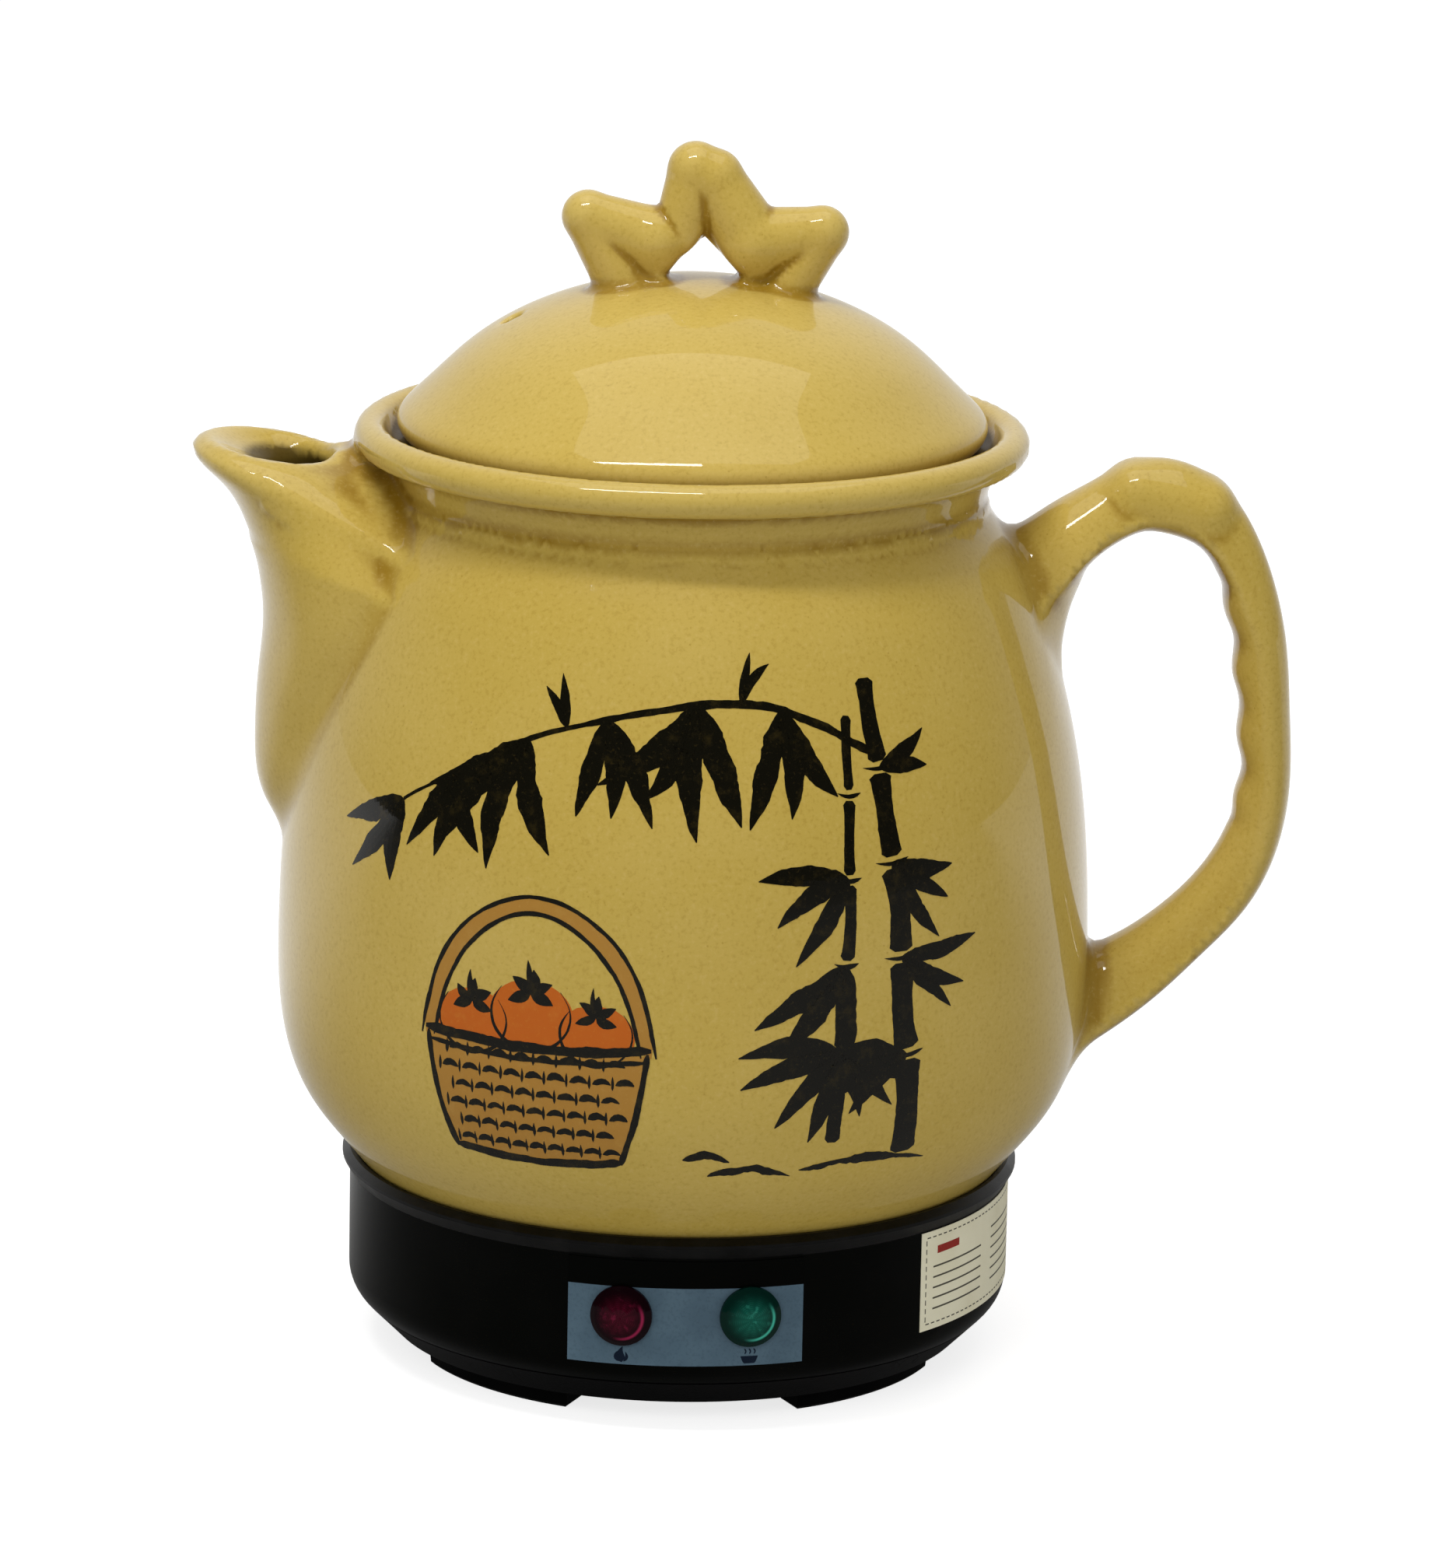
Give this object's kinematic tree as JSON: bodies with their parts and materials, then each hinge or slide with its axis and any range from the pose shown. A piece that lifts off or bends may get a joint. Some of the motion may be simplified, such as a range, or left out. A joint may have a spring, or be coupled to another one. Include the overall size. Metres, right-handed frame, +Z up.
{
  "type": "electric herbal medicine pot",
  "caption": "Glazed ceramic decoction jug with a domed lift-off lid, zigzag knob, beak spout and loop handle, fixed on a round black heating base with indicator lamps.",
  "frame": {"origin": "on the pot's vertical axis, in the plane that its four feet stand on", "axes": "+Z up, +X towards the handle, -X towards the spout, -Y towards the control label, +Y towards the power inlet"},
  "size_m": [0.2645, 0.1956, 0.2947],
  "materials": {
    "glaze": "glossy honey-ochre glaze",
    "lid_glaze": "glossy honey-ochre glaze",
    "base_plastic": "black moulded plastic",
    "plate_plastic": "black moulded plastic, fine texture",
    "seal_rubber": "black moulded rubber",
    "label_print": "printed film, slate blue and black",
    "sticker_paper": "cream paper",
    "red_lens": "dark red translucent moulding",
    "green_lens": "green translucent moulding",
    "neon_glass": "clear glass",
    "holder_plastic": "natural nylon",
    "spring_steel": "sheet steel",
    "zinc_steel": "zinc plated",
    "ring_steel": "pressed steel",
    "heater_aluminium": "cast, faced on top",
    "element_steel": "heat-tinted steel sheath",
    "shield_aluminium": "pressed sheet",
    "thermostat_body": "brown moulding with aluminium cap",
    "fuse_metal": "plated can",
    "inlet_plastic": "black moulding",
    "contact_brass": "plated contacts",
    "block_plastic": "white nylon",
    "wire_brown": "sleeved wire",
    "wire_blue": "sleeved wire",
    "wire_earth": "sleeved wire",
    "wire_white": "glass-fibre sleeve"
  },
  "bodies": {
    "pot_and_base": {"ceramic_foot": "glaze", "ceramic_wall": "glaze", "ceramic_rim": "glaze", "ceramic_spout": "glaze", "ceramic_handle": "glaze", "seal_ring": "seal_rubber", "base_housing": "base_plastic", "base_plate": "plate_plastic", "control_label": "label_print", "care_sticker": "sticker_paper", "red_lamp_lens": "red_lens", "green_lamp_lens": "green_lens", "neon_lamps": "neon_glass", "lamp_holders": "holder_plastic", "lamp_spring_nuts": "spring_steel", "base_screws": "zinc_steel", "captive_nuts": "zinc_steel", "anchor_studs": "zinc_steel", "anchor_washers": "spring_steel", "anchor_nuts": "zinc_steel", "support_ring": "ring_steel", "heater_plate": "heater_aluminium", "heating_element": "element_steel", "heat_shield": "shield_aluminium", "boil_thermostat": "thermostat_body", "keep_warm_thermostat": "thermostat_body", "thermostat_screws": "zinc_steel", "fuse_clip_screw": "zinc_steel", "thermal_fuse": "fuse_metal", "fuse_clip": "spring_steel", "inlet_socket": "inlet_plastic", "inlet_power_blades": "contact_brass", "inlet_earth_blade": "contact_brass", "inlet_screws": "zinc_steel", "terminal_block": "block_plastic", "terminal_screws": "zinc_steel", "live_wire": "wire_brown", "neutral_wire": "wire_blue", "earth_wire": "wire_earth", "element_leads": "wire_white", "lamp_leads": "wire_white"},
    "lid": {"ceramic_lid": "lid_glaze"}
  },
  "joints": [
    {"name": "lid_lift", "type": "slide", "parent": "pot_and_base", "child": "lid", "axis": [0, 0, 1], "range_m": [0, 0.12]}
  ]
}
